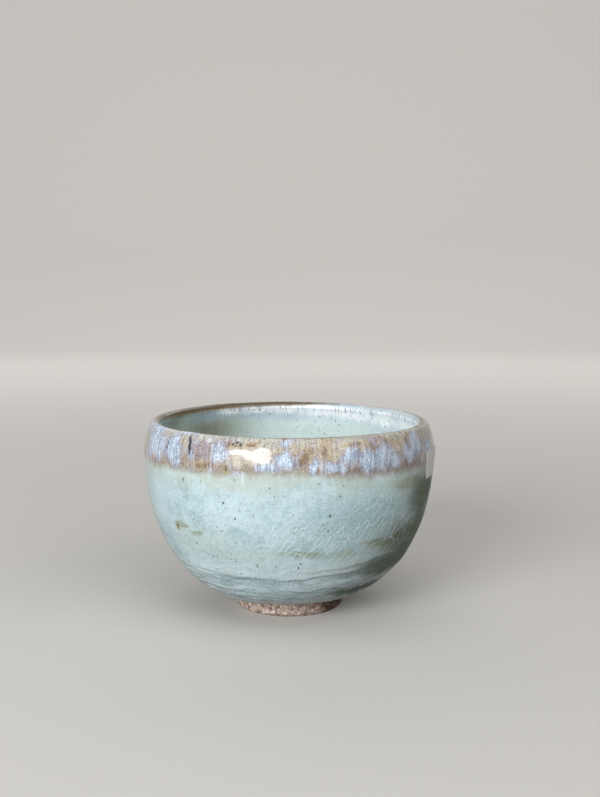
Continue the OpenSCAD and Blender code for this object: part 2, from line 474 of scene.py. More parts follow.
def wobbled(turn, drop):
    """The same places pushed about. In the band they are also stretched, so that its patches keep
    their share of its depth."""
    place = unrolled(turn, drop)
    edge = band_edge(turn)
    settled = smooth(drop - edge, 0, BAND_SETTLE)
    drop = drop - (edge - BAND_DEPTH) * np.clip(drop / edge, 0, 1) * (1 - settled)
    push = WOBBLE * (INSIDE_WOBBLE + (1 - INSIDE_WOBBLE) * smooth(drop, INSIDE_FROM, 0))
    turn = turn + push * grain(place, WOBBLE_L) / UNROLLED_R
    return turn, drop + push * grain(place + WOBBLE_L / 2, WOBBLE_L)


def patches(turn, drop, places):
    """How deep each point lies in the nearest of the patches, from 0 to 1."""
    depth = np.zeros_like(drop)
    for direction, middle, half_w, half_h in places:
        off = (turn - math.radians(direction) + math.pi) % (2 * math.pi) - math.pi
        span = (UNROLLED_R * off / half_w) ** 2 + ((drop - middle) / half_h) ** 2
        depth = np.maximum(depth, np.exp(-span))
    return depth


def lip_break(turn, drop):
    """How brown the crest of the lip is where the glaze thinned over it, and past 1, darker still."""
    directions, *columns = zip(*LIP_BREAKS)
    degrees = np.degrees(turn)
    strength, middle, width = [np.interp(degrees, directions, column, period=360) for column in columns]
    return strength * np.exp(-((drop - middle) / width) ** 2)


print("band of rim glaze", band_edge(turns).min().round(1), "to", band_edge(turns).max().round(1), "mm deep")

# %% [markdown]
# ## Ledges of the turning tool
# When the bowl was leather-hard, a turning tool cut the lower wall and left low ledges that wander
# and fade. A spiral formula alone would look machined, so each ledge is a line of a few heights by
# direction, with noise for its wander. Glaze gathered under a ledge in a dark line, which is partly
# painted shade, and the face just above the line is painted paler, a painted highlight.

# %% Place the ledges
# depth of each ledge, then its heights by direction
LEDGES = [
    (0.45, [(-155, 22.9), (-115, 22.7), (-99, 23.2), (-85, 23.4), (-79, 24.0), (-60, 25.5), (-46, 26.0)]),
    (0.3, [(-88, 26.4), (-73, 27.0), (-55, 28.6), (-36, 30.7), (-18, 31.8)]),
    (0.4, [(-104, 17.3), (-82, 17.2), (-54, 17.2), (-30, 17.0)]),
    (0.25, [(-145, 25.0), (-130, 24.7), (-114, 23.6), (-100, 23.3)]),
    (0.25, [(-152, 13.4), (-136, 13.5), (-84, 13.5), (-60, 13.8)]),
    (0.2, [(-70, 37.2), (-55, 37.7), (-25, 40.0), (-8, 41.0)]),
    (0.25, [(-62, 22.2), (-20, 21.6), (50, 20.5)]),
    (0.35, [(20, 25.0), (80, 25.6), (120, 27.0)]),
    (0.2, [(60, 33.0), (150, 32.0)]),
    (0.4, [(40, 16.0), (110, 17.2), (170, 17.5)]),
    (0.35, [(130, 22.0), (200, 24.0)]),
]
LEDGE_FADE = 16.0
LEDGE_GAP, LEDGE_GATHER = 7.0, (-0.2, 0.4)
LEDGE_RUN = 4.0
LEDGE_DROP = 0.8
LEDGE_LINE = 0.45
LEDGE_WANDER, LEDGE_L = 1.1, 10.0
LEDGE_SHAKE, LEDGE_SHAKE_L = 0.45, 3.5


def ledges(at, turn):
    """The ledges' lift, full just above a line and gone below it, and the dark line under them, gathered
    glaze and painted shade.
    """
    height = off_clay(at, coat_t)[1]
    lift = np.zeros_like(height)
    dark = np.zeros_like(height)
    place = unrolled(turn, height)
    shake = LEDGE_WANDER * grain(place, LEDGE_L) + LEDGE_SHAKE * grain(place, LEDGE_SHAKE_L)
    gathered = smooth(grain(place, LEDGE_GAP), *LEDGE_GATHER)
    for depth, line in LEDGES:
        directions, heights = zip(*line)
        middle = (directions[0] + directions[-1]) / 2
        around = (np.degrees(turn) - middle + 180) % 360 - 180 + middle
        reach = smooth(np.minimum(around - directions[0], directions[-1] - around), 0, LEDGE_FADE)
        rise = height - np.interp(around, directions, heights) - shake
        lift += depth * reach * smooth(rise, 0, LEDGE_DROP) * np.exp(-np.clip(rise, 0, None) / LEDGE_RUN)
        dark += depth * reach * gathered * np.exp(-(rise / LEDGE_LINE) ** 2)
    return lift, dark


print("ledges:", len(LEDGES), "up to", max(depth for depth, _ in LEDGES), "mm deep")

# %% [markdown]
# ## How thick the glaze lies
# Fired glaze is a skin of glass about half a millimetre thick. It follows the throwing rings low
# on the wall, which climb as one spiral, and the ledges. The milky patches of the rim stand out in
# soft drips, the inner side of the lip is slightly flat, and the glaze rolls into a bead where it
# stops above the foot. It also lies in waves of its own, which break up the edges of a reflection,
# and which calm down in the middle of the tea pool. A bump map could hint at all that, but real
# thickness shows in any light and in the exported mesh.

# %% Shape the rings and the lip
RING_H = 0.45
RING_PITCH = 4.2
RING_TOP = 34.0
RING_WANDER, RING_L = 0.35, 14.0
RING_GAP, RING_UNEVEN = 24.0, (-0.35, 0.45)
RING_TOOTH = 0.3
INNER_RING_H, INNER_RING_PITCH, INNER_FADE = 0.12, 6.0, 20.0
LIP_FLAT_AT, LIP_FLAT_TURN = 1.5, math.radians(20)


def throwing_rings(place, height, turn):
    """Rings that climb as one spiral low on the wall, each with a short rise and a long fall."""
    climb = (height - joint[1]) / RING_PITCH + turn / (2 * math.pi) + RING_WANDER * grain(place, RING_L)
    fade = np.clip((RING_TOP - height) / (RING_TOP - joint[1]), 0, 1)
    uneven = smooth(grain(place, RING_GAP), *RING_UNEVEN)
    tooth = climb % 1
    return RING_H * fade * uneven * smooth(tooth, 0, RING_TOOTH) * (1 - smooth(tooth, RING_TOOTH, 1))


def inner_rings(at, height, turn):
    """The faint spiral that the fingers left inside, which fades out towards the rim."""
    spiral = 2 * math.pi * (skin_length[-1] - at) / INNER_RING_PITCH + turn
    return INNER_RING_H * smooth(rim_low[2] - height, 0, INNER_FADE) * (1 - np.cos(spiral)) / 2


def flat_lip(at):
    """What fills the round inner side of the lip to a narrow flat."""
    past = np.abs(at - crest - LIP_FLAT_AT) / lip_r
    flat = (lip_r + coat_t) * (1 / np.cos(np.minimum(past, LIP_FLAT_TURN)) - 1)
    return flat * (1 - smooth(past, LIP_FLAT_TURN, 2 * LIP_FLAT_TURN))


print("throwing rings", RING_H, "mm high, one every", RING_PITCH, "mm")

# %% Work out the glaze thickness
WAVE_H, WAVE_L = 0.1, 9.0
RIPPLE_H, RIPPLE_L = 0.05, 3.2
RUN_H, RUN_L, RUN_STRETCH = 0.05, 1.8, 5.0
LIP_WAVE_H, LIP_WAVE_L, LIP_WAVE_RUN = 0.14, 5.0, 2.0
DRIP_H = 0.2
BEAD_H, BEAD_W = 0.12, 0.8
EDGE_THIN, EDGE_RUN = 0.3, 7.0
DIP_DEPTH, DIP_SOFT = 12.5, 3.0
STILL_R = 3.0


def glaze_lift(at, turn, loose, ledge_lift):
    """Height of the glaze's face over the clay, at a length along the skin and a direction."""
    radius, height = off_clay(at, coat_t)
    place = np.stack([radius * np.cos(turn), radius * np.sin(turn), height], axis=-1)
    from_edge = at - glaze_start(turn)
    body = smooth(from_edge, 0, EDGE_RUN)
    bead = BEAD_H * np.exp(-((from_edge - BEAD_W) / BEAD_W) ** 2)
    drips = DRIP_H * patches(*loose, OPAL_PATCHES) * (crest - at < DIP_DEPTH + DIP_SOFT)
    outer = body * (throwing_rings(place, height, turn) + ledge_lift) + bead + drips
    still = smooth(radius, STILL_R, 3 * STILL_R)
    turned = np.where(at < crest, outer, still * inner_rings(at, height, turn))
    waves = WAVE_H * grain(place, WAVE_L) + RIPPLE_H * grain(place, RIPPLE_L)
    near_lip = 1 - smooth(np.abs(crest - at), DIP_DEPTH - DIP_SOFT, DIP_DEPTH + DIP_SOFT)
    runs = RUN_H * grain(unrolled(turn, (crest - at) / RUN_STRETCH), RUN_L)
    runs = runs + LIP_WAVE_H * smooth(crest - at, 0, LIP_WAVE_RUN) * grain(place, LIP_WAVE_L)
    coat = coat_t * (EDGE_THIN + (1 - EDGE_THIN) * body)
    return coat + turned + body * still * waves + near_lip * runs + flat_lip(at)


print("glaze", (coat_t * EDGE_THIN).round(2), "mm thick at its edge and", coat_t.round(2), "mm on the wall")

# %% [markdown]
# ## The three coats
# Each coat is a closed shell: its face, and its back on the clay. A Solidify modifier could give
# the back, but it would not meet the clay. The back needs few rings, because nothing of it shows.
# With each point the mesh keeps facts for the finishes: its place on an unrolled bowl, with the
# drop from the crest of the lip as the height, its place on the sheet that the craze lines are cut
# from, and how deep it lies in the patches.

# %% Keep facts with the points
CRAZE_LEAN = math.radians(50)
CRAZE_STRETCH = 3.2
SEAM_TURN = math.pi / 2


def glaze_facts(at, turn, loose, ledge):
    """The vectors that a coat keeps with its points, by the names that the finishes ask for."""
    drop = crest - at
    from_front = UNROLLED_R * ((turn - SEAM_TURN) % (2 * math.pi) - math.pi)
    along = from_front * math.cos(CRAZE_LEAN) - drop * math.sin(CRAZE_LEAN)
    across = from_front * math.sin(CRAZE_LEAN) + drop * math.cos(CRAZE_LEAN)
    opal, iron = [patches(*loose, places) for places in (OPAL_PATCHES, IRON_PATCHES)]
    warm, crazed, deep, moss, stained = [patches(*loose, places) for places in WALL_PATCHES]
    lift, dark = ledge
    # wall_marks: a ledge's lift less its line, painted paler above as highlight and darker at the line as
    # glaze and shade; moss green with painted shade; stains
    facts = {
        "craze_place": (along / CRAZE_STRETCH, across, drop - band_edge(turn)),
        "rim_melt": (opal, iron, lip_break(turn, drop)),
        "wall_melt": (warm, crazed, deep),
        "wall_marks": (lift - dark, moss, stained),
    }
    stacked = {name: np.stack(parts, axis=-1) for name, parts in facts.items()}
    return {"glaze_place": unrolled(turn, drop), **stacked}


print("craze lines lean by", round(math.degrees(CRAZE_LEAN)), "degrees")

# %% Build the coats
FACE_ROWS = 150
RIM_ROWS = 108
BACK_ROWS = 10


def coat_of_glaze(name, start, end, rows):
    """A coat between two lines: its face in many rings, then its back in few."""
    face_turn = np.broadcast_to(turns, (rows, COLUMNS))
    face_at = spread(start, end, rows)
    face_loose = wobbled(face_turn, crest - face_at)
    face_ledge = ledges(face_at, face_turn)
    face_lift = glaze_lift(face_at, face_turn, face_loose, face_ledge[0])
    face = by_hand(*off_clay(face_at, face_lift), face_turn)
    face_facts = glaze_facts(face_at, face_turn, face_loose, face_ledge)
    back_turn = np.broadcast_to(turns, (BACK_ROWS, COLUMNS))
    back_at = spread(end, start, BACK_ROWS)
    back = by_hand(*off_clay(back_at, 0), back_turn)
    back_loose = wobbled(back_turn, crest - back_at)
    back_facts = glaze_facts(back_at, back_turn, back_loose, ledges(back_at, back_turn))
    facts = {kind: np.concatenate([face_facts[kind], back_facts[kind]]) for kind in face_facts}
    return mesh_of_rings(name, np.concatenate([face, back]), True, (0, rows - 1), facts)


outside_glaze = coat_of_glaze("outside_glaze", glaze_start(turns), dip_line_outside(turns), FACE_ROWS)
rim_glaze = coat_of_glaze("rim_glaze", dip_line_outside(turns), dip_line_inside(turns), RIM_ROWS)
inside_end = np.full(COLUMNS, skin_length[-1])
inside_glaze = coat_of_glaze("inside_glaze", dip_line_inside(turns), inside_end, FACE_ROWS)

# %% [markdown]
# ## The clay under the glaze
# Almost all of the thrown bowl is hidden, but a strip shows above the foot, and its underside shows
# in the hollow of the foot, where the turning tool left rings and a low point. The solid could
# stay as it is, but it lacks those rings and wouldn't bend with the coats.

# %% Build the thrown bowl
NUB_R, NUB_H = 4.5, 1.1
CLAY_ROWS = 60
UNDER_ROWS = 40
TOOL_RING_H, TOOL_RING_PITCH, TOOL_RINGS_R = 0.12, 1.6, 15.0


def all_round(values):
    """A row per ring with the same value in every direction."""
    return np.repeat(values[:, None], COLUMNS, axis=1)


def thrown_bowl():
    under_r = np.linspace(0, joint[0], UNDER_ROWS)
    nub = NUB_H * (1 - smooth(under_r, 0, NUB_R))
    rings = TOOL_RING_H * (1 - np.cos(2 * math.pi * under_r / TOOL_RING_PITCH)) / 2
    under_h = joint[1] - nub + rings * (under_r < TOOL_RINGS_R)
    clay_r, clay_h = off_clay(np.linspace(0, skin_length[-1], CLAY_ROWS)[1:], 0)
    radius = all_round(np.concatenate([under_r, clay_r]))
    height = all_round(np.concatenate([under_h, clay_h]))
    turn = np.broadcast_to(turns, radius.shape)
    return mesh_of_rings("bowl_body", by_hand(radius, height, turn), False, (0, UNDER_ROWS + 1), {})


bowl_body = thrown_bowl()

# %% [markdown]
# ## The foot ring
# The foot is coarse clay that was never glazed. Sand and pale grog stand out of it, the turning
# tool dragged some of them along, and the lower edge is worn and chipped. The grains could be bump
# alone, but the foot's outline shows them, so they are real dents and bumps that grow along the
# lower edge.

# %% Build the foot ring
FOOT_TAPER = 1.3
FOOT_WEAR = 1.0
FOOT_BEVEL = 0.8
FOOT_W = 4.9
HOLLOW_TAPER = 1.0
FOOT_STEP = 0.25
GRAIN_H, GRAIN_L, GRAIN_RISE = 0.12, 0.9, 0.4
CHIP_H, CHIP_L, CHIP_FROM = 0.35, 2.6, 0.15
SEAT_H, WORN_H, EDGE_H = 0.5, 1.6, 0.4
SMEARS = [(-8, 4, 20, 4), (96, 5, 16, 1.6)]
# rusty patches of the foot; the one on the front right is also painted shade
FOOT_RUST_AND_SHADE = [(-38, 3, 20, 6), (20, 2, 20, 3), (150, 4, 18, 3)]


def foot():
    stand_r = joint[0] - FOOT_TAPER - FOOT_WEAR
    inner_r = stand_r - FOOT_W
    hollow_r = inner_r - FOOT_BEVEL
    corners = np.array([
        joint,
        (stand_r + FOOT_WEAR, FOOT_WEAR),
        (stand_r, 0),
        (inner_r, 0),
        (hollow_r, FOOT_BEVEL),
        (hollow_r - HOLLOW_TAPER, joint[1]),
    ])
    lengths = np.append(0, np.cumsum(np.linalg.norm(np.diff(corners, axis=0), axis=1)))
    at = np.linspace(0, lengths[-1], int(lengths[-1] / FOOT_STEP))
    radius = all_round(np.interp(at, lengths, corners[:, 0]))
    height = all_round(np.interp(at, lengths, corners[:, 1]))
    turn = np.broadcast_to(turns, radius.shape)
    place = np.stack([radius * np.cos(turn), radius * np.sin(turn), height], axis=-1)
    sand = GRAIN_H * grain(place, GRAIN_L)
    chip = CHIP_H * np.clip(grain(place, CHIP_L) - CHIP_FROM, 0, None)
    seated = smooth(joint[1] - height, 0, SEAT_H)
    outer = np.where(radius > (stand_r + inner_r) / 2, 1, -1)
    low = 1 - smooth(height, 0, WORN_H)
    side = smooth(height, 0, EDGE_H)
    radius = radius + seated * outer * (sand * side - chip * low)
    lifted = height + seated * low * (chip + GRAIN_RISE * np.abs(sand)) * side
    height = np.clip(lifted, 0, joint[1])
    loose = wobbled(turn, height)
    smear, rust = [patches(*loose, places) for places in (SMEARS, FOOT_RUST_AND_SHADE)]
    facts = {"foot_melt": np.stack([smear, rust, 0 * rust], axis=-1)}
    return mesh_of_rings("foot_ring", by_hand(radius, height, turn), True, (0, len(at) - 1), facts)


foot_ring = foot()

# %% [markdown]
# ## The price label
# A small blank paper label is stuck on the right side. A flat plane with a Shrinkwrap modifier
# would do, but the skin already says where the glaze is, so the sheet is laid on it, with one free
# edge lifted a little where the glue has let go.

# %% Build the price label
LABEL_W = 20.0
LABEL_H = 10.6
LABEL_DROP = 15.2
LABEL_DIR = math.radians(-16)
LABEL_T = 0.15
GLUE_T = 0.04
CURL_H, CURL_LEAN, CURL_FROM, CURL_TO = 0.35, 0.25, 0.75, 1.25
LABEL_ROWS, LABEL_COLUMNS = 25, 45


def label():
    along = np.linspace(-1, 1, LABEL_ROWS)[:, None]
    across = np.linspace(-1, 1, LABEL_COLUMNS)[None, :]
    at = outside_at(rim_high[2] - LABEL_DROP) + along * LABEL_H / 2 + 0 * across
    turn = LABEL_DIR + across * LABEL_W / 2 / outside_high[0] + 0 * along
    curl = CURL_H * smooth(across + CURL_LEAN * along, CURL_FROM, CURL_TO)
    glaze = glaze_lift(at, turn, wobbled(turn, crest - at), ledges(at, turn)[0])
    lift = glaze + GLUE_T + curl
    back = by_hand(*off_clay(at, lift), turn)
    front = by_hand(*off_clay(at, lift + LABEL_T), turn)
    points = np.concatenate([front.reshape(-1, 3), back.reshape(-1, 3)])
    count = LABEL_ROWS * LABEL_COLUMNS
    index = np.arange(count).reshape(LABEL_ROWS, LABEL_COLUMNS)
    left, right = index[:, :-1], index[:, 1:]
    cells = np.stack([left[:-1], right[:-1], right[1:], left[1:]], axis=-1).reshape(-1, 4)
    rim = np.concatenate([index[0, :-1], index[:-1, -1], index[-1, :0:-1], index[:0:-1, 0]])
    after = np.roll(rim, -1)
    edge = np.stack([rim, after, after + count, rim + count], axis=-1)
    faces = np.concatenate([cells, cells[:, ::-1] + count, edge])
    mesh = bpy.data.meshes.new("price_label")
    mesh.from_pydata(points.tolist(), [], faces.tolist())
    return finished("price_label", mesh)


price_label = label()

# %% [markdown]
# ## A little shader arithmetic
# A finish is a graph of nodes. It could be wired by hand in the editor, but it reads better as a
# formula. This small class wraps one output of a node: the operators add Math nodes, and one method
# adds any other kind of node.

# %% Wrap sockets in a class
def socket_of(sockets, name):
    if isinstance(name, int):
        return sockets[name]
    return next(socket for socket in sockets if name in (socket.identifier, socket.name))


class Wire:
    """An output socket of a node tree, for writing shader maths as Python."""

    def __init__(self, tree, socket=None):
        self.tree = tree
        self.socket = socket

    def node(self, kind, settings=None, inputs=None, output=0):
        """Adds a node: its settings first, then the values or links of its sockets."""
        made = self.tree.nodes.new(kind)
        for name, value in (settings or {}).items():
            setattr(made, name, value)
        for name, value in (inputs or {}).items():
            socket = socket_of(made.inputs, name)
            if isinstance(value, Wire):
                self.tree.links.new(value.socket, socket)
            else:
                socket.default_value = value
        return Wire(self.tree, socket_of(made.outputs, output))

    def maths(self, operation, *values):
        return self.node("ShaderNodeMath", {"operation": operation}, dict(enumerate(values)))

    def __add__(self, other):
        return self.maths("ADD", self, other)

    def __sub__(self, other):
        return self.maths("SUBTRACT", self, other)

    def __rsub__(self, other):
        return self.maths("SUBTRACT", other, self)

    def __mul__(self, other):
        return self.maths("MULTIPLY", self, other)

    def __truediv__(self, other):
        return self.maths("DIVIDE", self, other)

    def __rtruediv__(self, other):
        return self.maths("DIVIDE", other, self)

    __radd__ = __add__
    __rmul__ = __mul__

    def larger(self, other):
        return self.maths("MAXIMUM", self, other)

    def swing(self, amount):
        """How far this noise is from its middle, times an amount."""
        return (self - 0.5) * amount

    def rise(self, low, high):
        """0 up to low, 1 from high, with a smooth step between. It falls if high is the lower."""
        ends = {"Value": self, "From Min": low, "From Max": high}
        return self.node("ShaderNodeMapRange", {"interpolation_type": "SMOOTHSTEP"}, ends)

    def blend(self, first, second, share=1.0):
        """The colour first where this is 0, and second, or a share of it, where this is 1."""
        factor = self if share == 1.0 else self * share
        ends = {"Factor_Float": factor, "A_Color": first, "B_Color": second}
        return self.node("ShaderNodeMix", {"data_type": "RGBA"}, ends, "Result_Color")

    def shaded(self, light):
        """This colour made darker or lighter by a factor, with its hue kept."""
        ends = {"Factor_Float": 1.0, "A_Color": self, "B_Color": light}
        settings = {"data_type": "RGBA", "blend_type": "MULTIPLY"}
        return self.node("ShaderNodeMix", settings, ends, "Result_Color")

    def vector(self, operation, *values, output="Vector"):
        return self.node("ShaderNodeVectorMath", {"operation": operation}, dict(enumerate(values)), output)

    def scaled(self, *sizes):
        """This vector times a size for each axis, or one size for all three."""
        return self.vector("MULTIPLY", self, sizes * 3 if len(sizes) == 1 else sizes)

    def moved(self, other):
        return self.vector("ADD", self, other)

    def length(self):
        return self.vector("LENGTH", self, output="Value")

    def part(self, axis):
        return self.node("ShaderNodeSeparateXYZ", None, {0: self}, axis)

    def cloud(self, wavelength, detail=2.0, rough=0.5, output="Fac"):
        inputs = {"Vector": self, "Scale": 1 / wavelength, "Detail": detail, "Roughness": rough}
        return self.node("ShaderNodeTexNoise", None, inputs, output)

    def streaks(self, across, along, detail, rough):
        """A cloud with one wavelength round the bowl and another up it."""
        return self.scaled(1 / across, 1 / across, 1 / along).cloud(1, detail, rough)

    def cells(self, size, feature="F1", output="Distance", dimensions="3D"):
        settings = {"feature": feature, "voronoi_dimensions": dimensions}
        return self.node("ShaderNodeTexVoronoi", settings, {"Vector": self, "Scale": 1 / size}, output)


print("operators:", [name for name in vars(Wire) if name.startswith("__r")])

# %% [markdown]
# ## Starting a finish
# Every finish is one Principled shader, and starts from the same wires: the place in millimetres on
# the real bowl, for specks and clouds, and the facts that the coats keep with their points. Colours
# are written as web codes, which the nodes need as linear light.

# %% Start a finish
def tint(code):
    """A colour for a node from a web colour code."""
    parts = [int(code[i:i + 2], 16) / 255 for i in (1, 3, 5)]
    linear = [part / 12.92 if part <= 0.04045 else ((part + 0.055) / 1.055) ** 2.4 for part in parts]
    return (*linear, 1.0)


def palette(title, **codes):
    """The colours of one finish, by name."""
    print(title, "colours:", ", ".join(codes))
    return SimpleNamespace(**{name: tint(code) for name, code in codes.items()})


def socket_name(word):
    """The name of a shader's socket from a keyword: base_color is Base Color."""
    return word.replace("_", " ").title()


def new_finish(name, **constants):
    """A material with one Principled shader. Returns it, its shader and a wire to start from."""
    material = bpy.data.materials.new(name)
    material.use_nodes = True
    shader = material.node_tree.nodes["Principled BSDF"]
    for word, value in constants.items():
        shader.inputs[socket_name(word)].default_value = value
    return material, shader, Wire(material.node_tree)


def feed(shader, **wires):
    """Links each wire to the socket of that name."""
    for word, wire in wires.items():
        wire.tree.links.new(wire.socket, shader.inputs[socket_name(word)])


def millimetres(start):
    """The place on the bowl, in millimetres."""
    return start.node("ShaderNodeTexCoord", None, None, "Object").scaled(1 / MM)


def fact(start, name):
    """A vector that the mesh keeps with its points."""
    return start.node("ShaderNodeAttribute", {"attribute_name": name}, None, "Vector")


def bumped(start, height, strength, depth):
    """A normal that follows small heights, with a depth in millimetres."""
    inputs = {"Height": height, "Strength": strength, "Distance": depth * MM}
    return start.node("ShaderNodeBump", None, inputs, "Normal")


print("mid grey gives back", round(tint("#808080")[0], 3), "of the light")

# %% [markdown]
# ## Celadon
# Celadon gets its blue-green from a trace of iron, and it is never one colour: it is paler and
# warmer where it lies thin, deeper where it pooled, and brushed with faint olive bands. One side
# of the bowl is a dull moss green, partly its glaze and partly painted shade. One noise would look
# like fog, so clouds of several sizes, stretched along or across the turning, are laid over each other.

# %% Mix the celadon
CELADON = palette(
    "celadon", deep="#a3c0c3", plain="#bbd6db", pale="#d0e5ec", warm="#bfd0cd", shade="#9cbcc1",
    dark="#8dabad", white="#dbebf0", ice="#cde4ed", inside="#dcecee", olive="#7f8450", moss="#585e48",
    cream="#c3cbc0", ledge="#4b5a52",
)


def celadon_textures(at, place):
    """Noise in several sizes: broad clouds to fine grain, and bands brushed round the bowl."""
    swirled = at.moved(at.cloud(14, 2, 0.5, "Color").scaled(9))
    drop = place.part(2)
    return SimpleNamespace(
        drop=drop,
        low=at.part(2).rise(36, 10) * drop.rise(0, 1),
        clouds=at.cloud(20, 3, 0.55),
        patchy=at.cloud(9, 3, 0.6),
        curds=at.cloud(4, 4, 0.65),
        fine=at.cloud(0.9, 3, 0.65),
        runs=place.streaks(1.6, 22, 3, 0.6),
        brushed=swirled.streaks(30, 2.2, 4, 0.65),
        scratches=swirled.streaks(16, 1.1, 3, 0.65),
    )


def celadon_ground(mix, wall, lines, rim):
    """The broad tones: pale, deep, warm and olive, and a paler glaze inside."""
    tone = 0.5 + mix.clouds.swing(0.8) + mix.patchy.swing(0.7) + mix.curds.swing(0.35) + mix.runs.swing(0.3)
    colour = tone.rise(0.3, 0.5).blend(CELADON.deep, CELADON.plain)
    colour = tone.rise(0.5, 0.72).blend(colour, CELADON.pale)
    colour = (rim.part(0) * mix.drop.rise(14, 18)).blend(colour, CELADON.ice, 0.85)
    deep = (wall.part(2) + mix.clouds.swing(0.8) + mix.curds.swing(0.6)).rise(0.15, 0.95)
    colour = deep.blend(colour, CELADON.shade, 0.8)
    warm = (wall.part(0) + mix.clouds.swing(1.2) + mix.curds.swing(0.8)).rise(0.1, 0.9)
    colour = warm.blend(colour, CELADON.warm, 0.7)
    olive = lines.part(2) + mix.brushed.swing(1.6) + mix.fine.swing(0.8) + warm * 0.1
    colour = (olive.rise(0.3, 0.9) * mix.drop.rise(16, 20)).blend(colour, CELADON.olive, 0.65)
    return mix.drop.rise(-2, -6).blend(colour, CELADON.inside, 0.64)


def celadon_colour(at, place, wall, lines, rim, hair):
    """The colour of the celadon, and how much of it is moss green, which is partly painted shade."""
    mix = celadon_textures(at, place)
    colour = celadon_ground(mix, wall, lines, rim)
    curdled = mix.fine.swing(1.0) + mix.curds.swing(0.25) + mix.scratches.swing(mix.low * 0.5 + 0.35)
    curdled = (curdled + (mix.brushed - 0.5) * mix.low * 1.3) * (mix.low * 1.2 + 1)
    colour = curdled.rise(-0.02, -0.22).blend(colour, CELADON.dark, 0.55)
    colour = curdled.rise(0.02, 0.22).blend(colour, CELADON.white, 0.6)
    edge = mix.drop + hair.swing(4) + mix.clouds.swing(16) + mix.curds.swing(8)
    colour = (edge.rise(25, 12) * (mix.drop.rise(0, 3) * 0.4 + 0.4)).blend(colour, CELADON.cream)
    uneven = mix.clouds.swing(0.5) + mix.brushed.swing(0.6) + mix.fine.swing(0.4)
    # moss green darkens the right of the front, partly a glaze tone and partly painted shade
    moss = (lines.part(1) + uneven * lines.part(1).rise(0, 0.5)).rise(0, 0.85)
    colour = moss.blend(colour, CELADON.moss, 0.84)
    light = 1 + mix.brushed.swing(moss * 2.6 + mix.low * 0.7) + mix.fine.swing(moss * 1.8 + mix.low * 0.4)
    colour = colour.shaded(light)
    # the strip above each ledge's line is painted paler, a painted highlight where it faces up; the line is
    # darker, gathered glaze and painted shade
    ledge = lines.part(0)
    colour = (ledge * (1 - moss) * 1.3).blend(colour, CELADON.white)
    colour = ((0 - ledge) * (mix.brushed + mix.fine - 0.2) * 1.5).blend(colour, CELADON.ledge)
    return colour, moss


# %% [markdown]
# ## The rim glaze
# The rim is a soft mix, like watercolour: cream and mauve as the ground, tan to ochre where the
# iron came through, then lilac round each milky patch, lavender-blue inside it, and white hairs
# where the glaze ran. Inside the lip it lies as a milky edge over a bluish haze. Hairs drawn one by
# one would look combed, so they are noise drawn out along the drop, in a fine and a coarser size.
# They also feather the lower edge of the band.

# %% Mix the rim glaze
RIM = palette(
    "rim glaze", cream="#b9b3a2", mauve="#9a8f92", crest="#b6b8b0", fringe="#8d7c6e", tan="#b3a48a",
    ochre="#7b6450", brown="#6e5a38", lip="#4b493d", lilac="#a9a5b1", violet="#72769a", opal="#b9cadd",
    white="#e0eaf2", milk="#f8fcfe", haze="#a8b8ce", grey="#7f816a",
)
BAND_FEATHER = 2.0
MOTTLE_L = 4.5
ELSEWHERE = (40, 70, 20)


def white_hairs(place):
    """Streaks down the drop: 1 on a pale hair, 0 on a dark one."""
    fine = place.streaks(0.55, 4.5, 2, 0.6)
    coarse = place.streaks(1.5, 9, 3, 0.6)
    return (fine * 0.55 + coarse * 0.45).rise(0.36, 0.64)


def rim_colour(at, rim, stain, hair, drop, below):
    """The ground, then the iron, the milky patches and the hairs over it."""
    mottle = at.cloud(MOTTLE_L, 2, 0.5)
    blots = at.moved(ELSEWHERE).cloud(MOTTLE_L, 2, 0.5)
    fine = at.cloud(0.7, 3, 0.65)
    streaked = hair.swing(0.22)
    opal = rim.part(0) + mottle.swing(1.6) + streaked
    iron = rim.part(1) + blots.swing(1.4) - streaked * 0.5
    mauve = blots.swing(1.6) + stain * 0.8 + 0.3
    colour = mauve.rise(0.2, 0.8).blend(RIM.cream, RIM.mauve)
    colour = (below + blots.swing(6)).rise(-5, -1.5).blend(colour, RIM.fringe, 0.75)
    colour = (drop + mottle.swing(4)).rise(4.5, 1.0).blend(colour, RIM.crest, 0.7)
    colour = iron.rise(0.1, 0.7).blend(colour, RIM.tan, 0.9)
    colour = iron.rise(0.5, 1.15).blend(colour, RIM.ochre, 0.8)
    colour = opal.rise(0.0, 0.55).blend(colour, RIM.lilac, 0.85)
    colour = opal.rise(0.27, 0.95).blend(colour, RIM.opal, 0.95)
    colour = opal.rise(0.9, 1.3).blend(colour, RIM.white, 0.45)
    colour = (opal.rise(0.1, 0.5) * hair.rise(0.42, 0.1)).blend(colour, RIM.violet, 0.3)
    return colour.shaded(1 + fine.swing(2.0) + hair.swing(0.45))


def rim_band(at, hair, below):
    """1 on the rim glaze outside, 0 below its soft and wandering lower edge."""
    wandering = below - hair.swing(1.2) + at.cloud(4, 3, 0.6).swing(4)
    return wandering.rise(BAND_FEATHER, -BAND_FEATHER)


def inside_colour(colour, at, place, rim, stain, hair):
    """The colour with the grey, the haze and the milky edge that lie inside the lip."""
    drop = place.part(2)
    within = drop.rise(-0.3, -1.6)
    colour = (rim.part(1) * drop.rise(0, -2)).blend(colour, RIM.grey)
    milk = (rim.part(0) + hair.swing(0.35) + at.cloud(6, 3, 0.6).swing(0.3)) * within
    haze = milk.rise(0, 0.5).larger(stain * within * (hair * 0.5 + 0.75))
    colour = haze.blend(colour, RIM.haze, 0.6)
    colour = milk.rise(0.05, 1.0).blend(colour, RIM.milk)
    ticks = rim.part(0) * place.streaks(0.8, 5, 2, 0.6).rise(0.46, 0.36)
    return (ticks * drop.rise(-4.5, -2.5) * drop.rise(-0.8, -1.6)).blend(colour, RIM.violet, 0.8)
